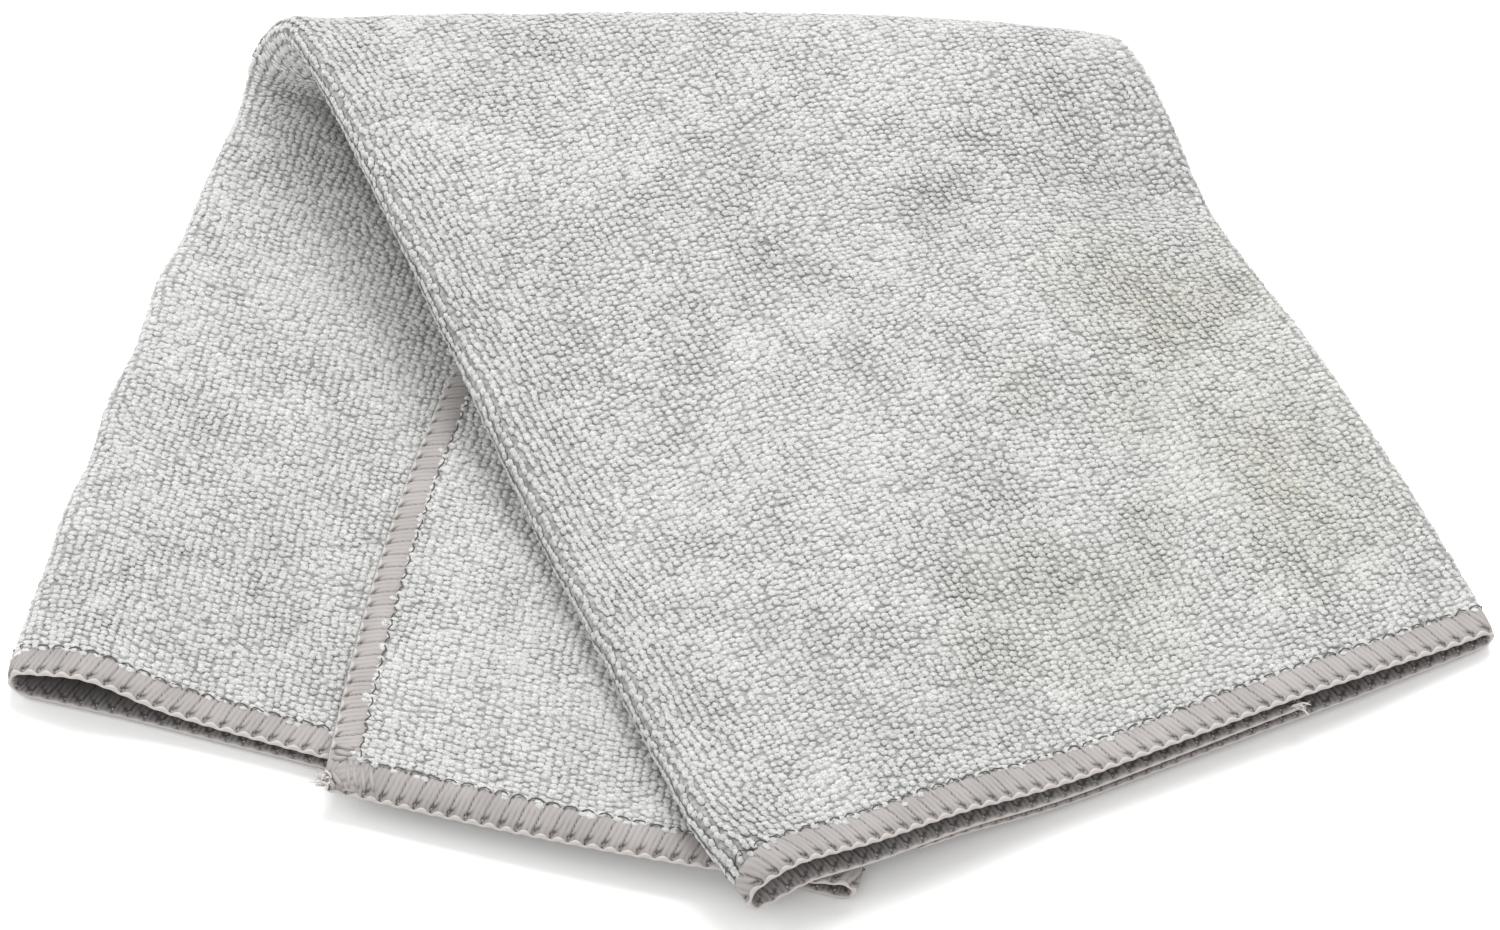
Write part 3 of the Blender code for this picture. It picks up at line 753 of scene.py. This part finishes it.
# The pile starts raggedly at the overlock's needle line. It is made on the upper half as far as round its
# folds and the bend, and on the lower half where that shows, but not on the face that lies on the table.
HEM_WIDE = 0.0052
RAGGED = 0.0014
PILE_UPPER = {"left": 0.006, "right": 0.005, "past_bend": 0.030, "least_up": -0.8}
PILE_LOWER = {"left": 0.004, "before_bend": 0.04, "least_up": -0.5}
HEM_AT_FOLD = {"narrower": 0.35, "reach": 0.006}
UPPER_LEFT_EDGE = {"y": (-0.11, 0.10), "x": (-0.001, -0.094)}
PILE_UNDER_EDGE = 0.010        # how far the pile goes on under the upper half's left edge
PILE_PARTS = {"pile_hem": (0.0, 0.075), "pile_middle": (0.075, 0.150), "pile_bend": (0.150, CLOTH_ALONG)}


def narrowed(across, along):
    """The share of its width that the hem's band keeps where it goes round the left fold."""
    return 1 - HEM_AT_FOLD["narrower"] * bell(across, fold_lines(along)[0], HEM_AT_FOLD["reach"])


across, along = grain_places((0.0, CLOTH_ACROSS), (0.0, CLOTH_ALONG), seed=11)
left_line, right_line, _, _ = fold_lines(along)
point, _, _, outward = on_cloth(across, along)
from_hem = np.minimum(along / narrowed(across, 0), (CLOTH_ALONG - along) / narrowed(across, CLOTH_ALONG))
from_edge = np.minimum.reduce([across, CLOTH_ACROSS - across, from_hem])
ragged = RAGGED * np.random.RandomState(12).uniform(-1, 0.6, len(across)) ** 3
on_pile = from_edge > HEM_WIDE - 0.0002 + ragged

crease_at = CREASE_ALONG - (across - left_line) * math.tan(CREASE_SKEW)
on_upper = on_pile & (across > left_line - PILE_UPPER["left"]) & (across < right_line + PILE_UPPER["right"])
on_upper &= (along < crease_at + PILE_UPPER["past_bend"]) & (outward[:, 2] > PILE_UPPER["least_up"])
covered = point[:, 0] > np.interp(point[:, 1], UPPER_LEFT_EDGE["y"], UPPER_LEFT_EDGE["x"]) + PILE_UNDER_EDGE
on_lower = on_pile & ((across <= left_line + PILE_LOWER["left"]) | (across >= right_line))
on_lower &= (along > CREASE_ALONG - PILE_LOWER["before_bend"]) & (outward[:, 2] > PILE_LOWER["least_up"])
on_lower &= ~covered & ~on_upper
on_under = across < left_line + 0.01

shown = {name: on_upper & (along >= start) & (along < end) for name, (start, end) in PILE_PARTS.items()}
shown["pile_under_panel"] = on_lower & on_under
shown["pile_inner_panel"] = on_lower & ~on_under
pile_pieces = [grains(name, across[chosen], along[chosen], pile, seed=21) for name, chosen in shown.items()]


# ---------------------------------------------------------------- the overlocked edge
# A mauve-grey polyester thread is overlocked round the cut edge on all four sides, three strands to a
# stitch, from a needle line 5 mm in, over the edge and back on the other face. Each stitch ends in a hook.

STITCH = 0.0031
STEPS_PER_STITCH = 12
STRANDS_PER_STITCH = 3
BAND = [  # the wrap's section, from the needle line over the edge to the other face
    {"in": 0.0055, "lift": 0.00080}, {"in": 0.0051, "lift": 0.00112}, {"in": 0.0040, "lift": 0.00118},
    {"in": 0.0030, "lift": 0.00116}, {"in": 0.0022, "lift": 0.00110}, {"in": 0.0015, "lift": 0.00104},
    {"in": 0.0011, "lift": 0.00100}, {"in": 0.0007, "lift": 0.00092}, {"in": 0.0003, "lift": 0.00080},
    {"in": -0.0002, "lift": 0.00050}, {"in": -0.0005, "lift": 0.0}, {"in": -0.0001, "lift": -0.00055},
    {"in": 0.0004, "lift": -0.00080}, {"in": 0.0008, "lift": -0.00095}, {"in": 0.0013, "lift": -0.00104},
    {"in": 0.0024, "lift": -0.00110}, {"in": 0.0040, "lift": -0.00112}, {"in": 0.0055, "lift": -0.00080},
]
EDGES = {  # start, heading along the edge and heading into the cloth, on the flat cloth
    "top_hem": {"start": (0.0, 0.0), "run": (1, 0), "into": (0, 1), "length": CLOTH_ACROSS},
    "bottom_hem": {"start": (0.0, CLOTH_ALONG), "run": (1, 0), "into": (0, -1), "length": CLOTH_ACROSS},
    "under_side": {"start": (0.0, 0.0), "run": (0, 1), "into": (1, 0), "length": CLOTH_ALONG},
    "inner_side": {"start": (CLOTH_ACROSS, 0.0), "run": (0, 1), "into": (-1, 0), "length": CLOTH_ALONG},
}
SLANT = 0.40                   # how far a wrap moves along the edge for each step into the cloth
WANDER = {"shift": 0.00025, "patch": 0.006}
GAP_WIDE = 0.07                # half the gap between two stitches, as a share of a stitch
HOOK = {"in": 0.00035, "curves": 0.0040, "wide": 0.00026, "before": (0.02, 0.12), "past": (0.20, 0.60)}
WRAP_DEPTH = {"strand": 0.00018, "stitch": 0.00030, "hook": 0.00026}
# Painted shade: the wraps are darker between strands, between stitches, in the hooks round the looper's bead,
# over the whole inner face, and a little more on the bottom hem
WRAP_SHADE = {"middle": 0.82, "strand": 0.30, "stitch": 0.45, "hook": 0.90, "inner_hook": 1.0,
              "painted_inner_shade": 0.46, "bottom_hem": 0.05, "drift": 0.07}


def edge_place(edge, run, into):
    """The place on the flat cloth, for a distance along an edge and one in from it."""
    across = edge["start"][0] + run * edge["run"][0] + into * edge["into"][0]
    along = edge["start"][1] + run * edge["run"][1] + into * edge["into"][1]
    return across, along


def net_along_edge(name, long, wide, turned_over):
    """A flat net for a band of thread, and where each of its points is: how far along and how far round."""
    net = bmesh.new()
    bmesh.ops.create_grid(net, x_segments=long - 1, y_segments=wide - 1, size=0.5)
    if turned_over:
        bmesh.ops.reverse_faces(net, faces=net.faces)
    mesh = bpy.data.meshes.new(name)
    net.to_mesh(mesh)
    net.free()
    flat = np.empty(3 * len(mesh.vertices), np.float32)
    mesh.vertices.foreach_get("co", flat)
    flat = flat.reshape(-1, 3) + 0.5
    return mesh, np.rint(flat[:, 0] * (long - 1)).astype(int), np.rint(flat[:, 1] * (wide - 1)).astype(int)


def wraps(run, into, lift, seed):
    """The overlock's wraps: how round each strand is there, and how near its gap and its hook are, 0 to 1."""
    slant = run + SLANT * into * np.sign(lift) + WANDER["shift"] * drift(run, into, WANDER["patch"], seed)
    strand = slant / STITCH * STRANDS_PER_STITCH
    stitch = (slant / STITCH) % 1
    rounded = np.sqrt(np.clip(1 - (2 * (strand % 1) - 1) ** 2, 0, 1))
    between = np.clip(1 - np.minimum(stitch, 1 - stitch) / GAP_WIDE, 0, 1)
    # the hook bends round the looper's bead: it dies out fast before the bead, and slowly past it
    past = 1 - (run / STITCH) % 1
    past = np.where(past > 0.8, past - 1, past)
    hooked = bell(into, HOOK["in"] + HOOK["curves"] * past ** 2, HOOK["wide"])
    hooked *= np.where(past < 0, 1 - ease(-past, *HOOK["before"]), 1 - ease(past, *HOOK["past"]))
    return rounded, between, hooked


# Textured polyester thread: matt, with a faint gloss on each round strand, and painted shade where strands
# meet.
thread, tree, shader = new_material("overlock_thread")
tint = node(tree, "ShaderNodeAttribute", {"attribute_name": "shade"})
coloured = node(tree, "ShaderNodeMix", {"data_type": "RGBA"}, i0=tint.outputs["Fac"], i6=linear("#322E2D"),
                i7=linear("#A9A4A1"))
tree.links.new(coloured.outputs[2], shader.inputs["Base Color"])
shader.inputs["Roughness"].default_value = 0.7

for number, (name, edge) in enumerate(EDGES.items()):
    steps = round(edge["length"] / STITCH) * STEPS_PER_STITCH
    mesh, step_along, step_round = net_along_edge("overlock_" + name, steps + 1, len(BAND),
                                                  turned_over=name in ("top_hem", "inner_side"))
    run = edge["length"] * step_along / steps
    into = np.array([place["in"] for place in BAND])[step_round]
    lift = np.array([place["lift"] for place in BAND])[step_round]
    rounded, between, hooked = wraps(run, into, lift, seed=41 + number)
    sunk = (WRAP_DEPTH["strand"] * (1 - rounded) + WRAP_DEPTH["stitch"] * between
            + WRAP_DEPTH["hook"] * hooked)
    lift = lift - np.sign(lift) * sunk
    if name in ("top_hem", "bottom_hem"):
        into = into * narrowed(run, edge["start"][1])
    across, along = edge_place(edge, run, into)
    mesh.vertices.foreach_set("co", raised(across, along, lift).astype(np.float32).ravel())
    mesh.update()
    # painted shade in the strand and stitch gaps, in the hooks and on the inner face
    shades = (WRAP_SHADE["middle"] - WRAP_SHADE["strand"] * (1 - rounded) - WRAP_SHADE["stitch"] * between
              - np.where(lift < 0, WRAP_SHADE["inner_hook"], WRAP_SHADE["hook"]) * hooked
              - np.where(lift < -0.0002, WRAP_SHADE["painted_inner_shade"], 0)
              + WRAP_SHADE["drift"] * drift(run, into, 0.004, 51))
    # a little more painted shade on the bottom hem's wraps
    if name == "bottom_hem":
        shades -= WRAP_SHADE["bottom_hem"]
    cloth_piece("overlock_" + name, mesh, thread, shade=shades.clip(0, 1))


# ---------------------------------------------------------------- the looper and needle threads
# Two more threads hold the wraps: a lighter woolly one that the looper lays along the cut, bulging in a bead
# at every stitch, and a fine dark one that the needle stitches down the band's inner side.

LOOPER = {"steps": 8, "out": 0.0006, "bulges_in": 0.0004, "lift": 0.00010, "bulges_up": 0.00020,
          "radius": 0.00024, "bead": 0.00032, "tucked": 0.0004}
NEEDLE = {"steps": 4, "starts": 0.0047, "radius": 0.00013, "lift": 0.00122, "strays": 0.00010}
NEEDLE_SIDEWAYS = 0.00035 * np.array([-1, 0.2, 1, 0.2])      # over one stitch, it weaves from side to side
NEEDLE_UP = 0.00022 * np.array([-1.6, 1, 0.4, 1])            # and dives into the cloth
CLEAR_OF_TABLE = 0.0002


def laid_threads(name, paths, smoothness=1):
    """A mesh of round threads along paths of points and radii, each drawn to a point at both ends."""
    curve = bpy.data.curves.new(name, "CURVE")
    curve.dimensions = "3D"
    curve.bevel_depth = 1
    curve.bevel_resolution = smoothness              # 4 sides, and 2 more for each step
    for centres, radii in paths:
        line = curve.splines.new("POLY")
        line.points.add(len(centres) - 1)
        line.points.foreach_set("co", np.column_stack([centres, np.ones(len(centres))]).ravel())
        line.points.foreach_set("radius", np.concatenate([[0], radii[1:-1], [0]]))
    laid = bpy.data.objects.new(name, curve)
    mesh = bpy.data.meshes.new_from_object(laid)
    bpy.data.objects.remove(laid)
    bpy.data.curves.remove(curve)
    return mesh


# Woolly textured thread, looser and so paler and more matt than the wraps.
looper, tree, shader = new_material("looper_thread")
shader.inputs["Base Color"].default_value = linear("#B1ABA8")
shader.inputs["Roughness"].default_value = 0.75
for name, edge in EDGES.items():
    steps = round(edge["length"] / STITCH) * LOOPER["steps"]
    run = np.linspace(0, edge["length"], steps + 1)
    bulge = np.sin(math.pi * ((run / STITCH) % 1)) ** 2
    tucked = LOOPER["tucked"] if name == "inner_side" else 0.0
    across, along = edge_place(edge, run, -LOOPER["out"] + tucked + LOOPER["bulges_in"] * bulge)
    centres = raised(across, along, LOOPER["lift"] + LOOPER["bulges_up"] * bulge)
    mesh = laid_threads("looper_" + name, [(centres, LOOPER["radius"] + LOOPER["bead"] * bulge)])
    cloth_piece("looper_" + name, mesh, looper)

# Fine spun thread, pulled tight into the pile. Its dark colour is partly painted shade of the needle holes,
# so it reads as a dark broken line.
needle, tree, shader = new_material("needle_thread")
shader.inputs["Base Color"].default_value = linear("#544E4D")
for number, (name, edge) in enumerate(EDGES.items()):
    steps = (round(edge["length"] / STITCH) - 3) * NEEDLE["steps"]
    step = np.arange(steps)
    run = NEEDLE["starts"] + step / NEEDLE["steps"] * STITCH
    strays = np.random.RandomState(71 + number).normal(0, NEEDLE["strays"], steps)
    into = HEM_WIDE + NEEDLE_SIDEWAYS[step % NEEDLE["steps"]] + strays
    across, along = edge_place(edge, run, into)
    centres = raised(across, along, NEEDLE["lift"] + NEEDLE_UP[step % NEEDLE["steps"]])
    centres[:, 2] = np.maximum(centres[:, 2], CLEAR_OF_TABLE)
    mesh = laid_threads("needle_" + name, [(centres, np.full(steps, NEEDLE["radius"]))], smoothness=0)
    cloth_piece("needle_" + name, mesh, needle)


# ---------------------------------------------------------------- the corners' loose threads
# The overlock starts and ends at two corners. The inner panel's corner is closed by single wraps that fan
# round it, and both corners keep a short frayed tail of cut thread. A fleck of lint lies in the pile.

# Each wrap's upper and lower end, in millimetres from the corner: in from the side and up from the hem
LEAF_COLUMNS = ("side_from", "hem_from", "side_to", "hem_to")
LEAVES = [
    (0.6, 7.4, 4.3, 7.2), (0.5, 5.8, 4.1, 5.9), (0.4, 4.3, 3.4, 5.2), (0.5, 2.6, 3.4, 0.3),
    (0.3, 1.3, 1.9, -0.1), (3.2, 4.9, 4.4, 0.2), (4.3, 5.1, 6.0, 0.6), (5.8, 4.9, 7.2, 0.3),
    (7.3, 5.1, 8.8, 0.6),
]
LEAF = {"lift": 0.00115, "thick": 0.00052, "sag": 0.00006}
TAILS = {
    "tail_of_inner_panel": {"at": (CLOTH_ACROSS, CLOTH_ALONG - 0.0008), "heading": (-0.0012, 0.0010, 0.0014),
                            "count": 34, "thick": 0.00022},
    "tail_of_under_panel": {"at": (0.0008, 0.0003), "heading": (0.0022, -0.0008, 0.0008), "count": 18,
                            "thick": 0.00020},
}
TAIL = {"root": 0.0005, "spread": 0.0008, "sag": 0.0006, "off_table": 0.0006}
STRAND = {"points": 9, "end_thick": 0.30, "end_shade": 0.35, "wobble": 0.12}
LINT = {"across": (0.2195, 0.2203), "along": (0.1216, 0.1224), "lift": 0.0016, "thick": 0.00022,
        "sag": 0.0001}


def strands(name, starts, ends, material, thick, sag, seed):
    """Loose or lapped strands from start points to end points, thickest in the middle."""
    dice = np.random.RandomState(seed)
    k = np.linspace(0, 1, STRAND["points"])
    swollen = np.sin(math.pi * k) ** 0.7
    radii = thick * (STRAND["end_thick"] + (1 - STRAND["end_thick"]) * swollen)
    paths = []
    for start, end in zip(starts, ends):
        bowed = dice.normal(0, sag, 3) * 4 * (k * (1 - k))[:, None]
        bowed += dice.normal(0, sag * STRAND["wobble"], (len(k), 3))
        paths.append((start + (end - start) * k[:, None] + bowed, radii))
    mesh = laid_threads(name, paths)
    sides = len(mesh.vertices) // (len(k) * len(paths))
    # painted shade: each strand is darker towards its ends, where it goes into the cloth
    shades = np.tile(np.repeat(STRAND["end_shade"] + 0.50 * swollen, sides), len(paths))
    return cloth_piece(name, mesh, material, shade=shades)


leaf = {column: np.array(values) / 1000 for column, values in zip(LEAF_COLUMNS, zip(*LEAVES))}
above = np.full(len(LEAVES), LEAF["lift"])
strands(
    "corner_wraps", raised(CLOTH_ACROSS - leaf["side_from"], CLOTH_ALONG - leaf["hem_from"], above),
    raised(CLOTH_ACROSS - leaf["side_to"], CLOTH_ALONG - leaf["hem_to"], above), thread, LEAF["thick"],
    LEAF["sag"], seed=81)

# Untwisted ends of the same polyester thread: their loose filaments catch more light.
frayed, tree, shader = new_material("frayed_thread")
shader.inputs["Base Color"].default_value = linear("#C4BFBC")
for name, tail in TAILS.items():
    dice = np.random.RandomState(len(name))
    root = raised(np.array([tail["at"][0]]), np.array([tail["at"][1]]), np.array([0.0]))[0]
    starts = root + dice.normal(0, TAIL["root"], (tail["count"], 3))
    ends = root + np.array(tail["heading"]) * dice.uniform(0.3, 1.2, (tail["count"], 1)) + dice.normal(
        0, TAIL["spread"], (tail["count"], 3))
    ends[:, 2] = np.maximum(ends[:, 2], TAIL["off_table"])
    strands(name, starts, ends, frayed, tail["thick"], TAIL["sag"], seed=91)

# A dry brown cotton fibre, quite matt.
lint, tree, shader = new_material("brown_lint")
shader.inputs["Base Color"].default_value = linear("#7A6A58")
fleck = raised(np.array(LINT["across"]), np.array(LINT["along"]), np.full(2, LINT["lift"]))
strands("lint_fleck", fleck[:1], fleck[1:], lint, LINT["thick"], LINT["sag"], seed=95)


# ---------------------------------------------------------------- the table and the light
# White paper sweep, lit softly from above and behind, so that the shadow shows only at the front hems.

bpy.ops.mesh.primitive_plane_add(size=6)
table = bpy.context.object
table.name = "table"
# Matt coated paper, lit so that it burns out to plain white away from the shadows.
paper, tree, shader = new_material("white_paper")
shader.inputs["Base Color"].default_value = linear("#F7F7F6")
table.data.materials.append(paper)

world = bpy.data.worlds.new("studio")
bpy.context.scene.world = world
world.use_nodes = True
world.node_tree.nodes["Background"].inputs["Color"].default_value = linear("#FFFFFF")
world.node_tree.nodes["Background"].inputs["Strength"].default_value = 0.86


def softbox(name, place, aim, size, watts):
    """A rectangular light on its own stand."""
    lamp = bpy.data.lights.new(name, "AREA")
    lamp.shape = "RECTANGLE"
    lamp.size, lamp.size_y = size
    lamp.energy = watts
    made = bpy.data.objects.new(name, lamp)
    made.location = place
    made.rotation_euler = (Vector(aim) - Vector(place)).to_track_quat("-Z", "Y").to_euler()
    bpy.context.scene.collection.objects.link(made)


softbox("key", place=(0.20, 0.75, 1.35), aim=(0, 0, 0), size=(0.9, 0.7), watts=19)
softbox("fill", place=(-0.25, -1.20, 1.20), aim=(0, 0, 0), size=(1.2, 0.9), watts=6)
softbox("side", place=(-1.10, 0.25, 0.75), aim=(0, 0, 0), size=(0.8, 0.8), watts=4.5)

bpy.context.scene.view_settings.view_transform = "Standard"


# ---------------------------------------------------------------- the camera
# A long lens, from the front and half above, aimed close to the middle of the cloth.

AIM = Vector((-0.00065, 0.00355, 0.0))
ELEVATION = math.radians(49.50)
DISTANCE = 1.1144
camera_data = bpy.data.cameras.new("camera")
camera_data.lens = 141.55
camera_data.sensor_width = 36
camera_data.clip_start = 0.05
camera = bpy.data.objects.new("camera", camera_data)
camera.location = AIM + DISTANCE * Vector((0, -math.cos(ELEVATION), math.sin(ELEVATION)))
camera.rotation_euler = (AIM - camera.location).to_track_quat("-Z", "Y").to_euler()
bpy.context.scene.collection.objects.link(camera)
bpy.context.scene.camera = camera
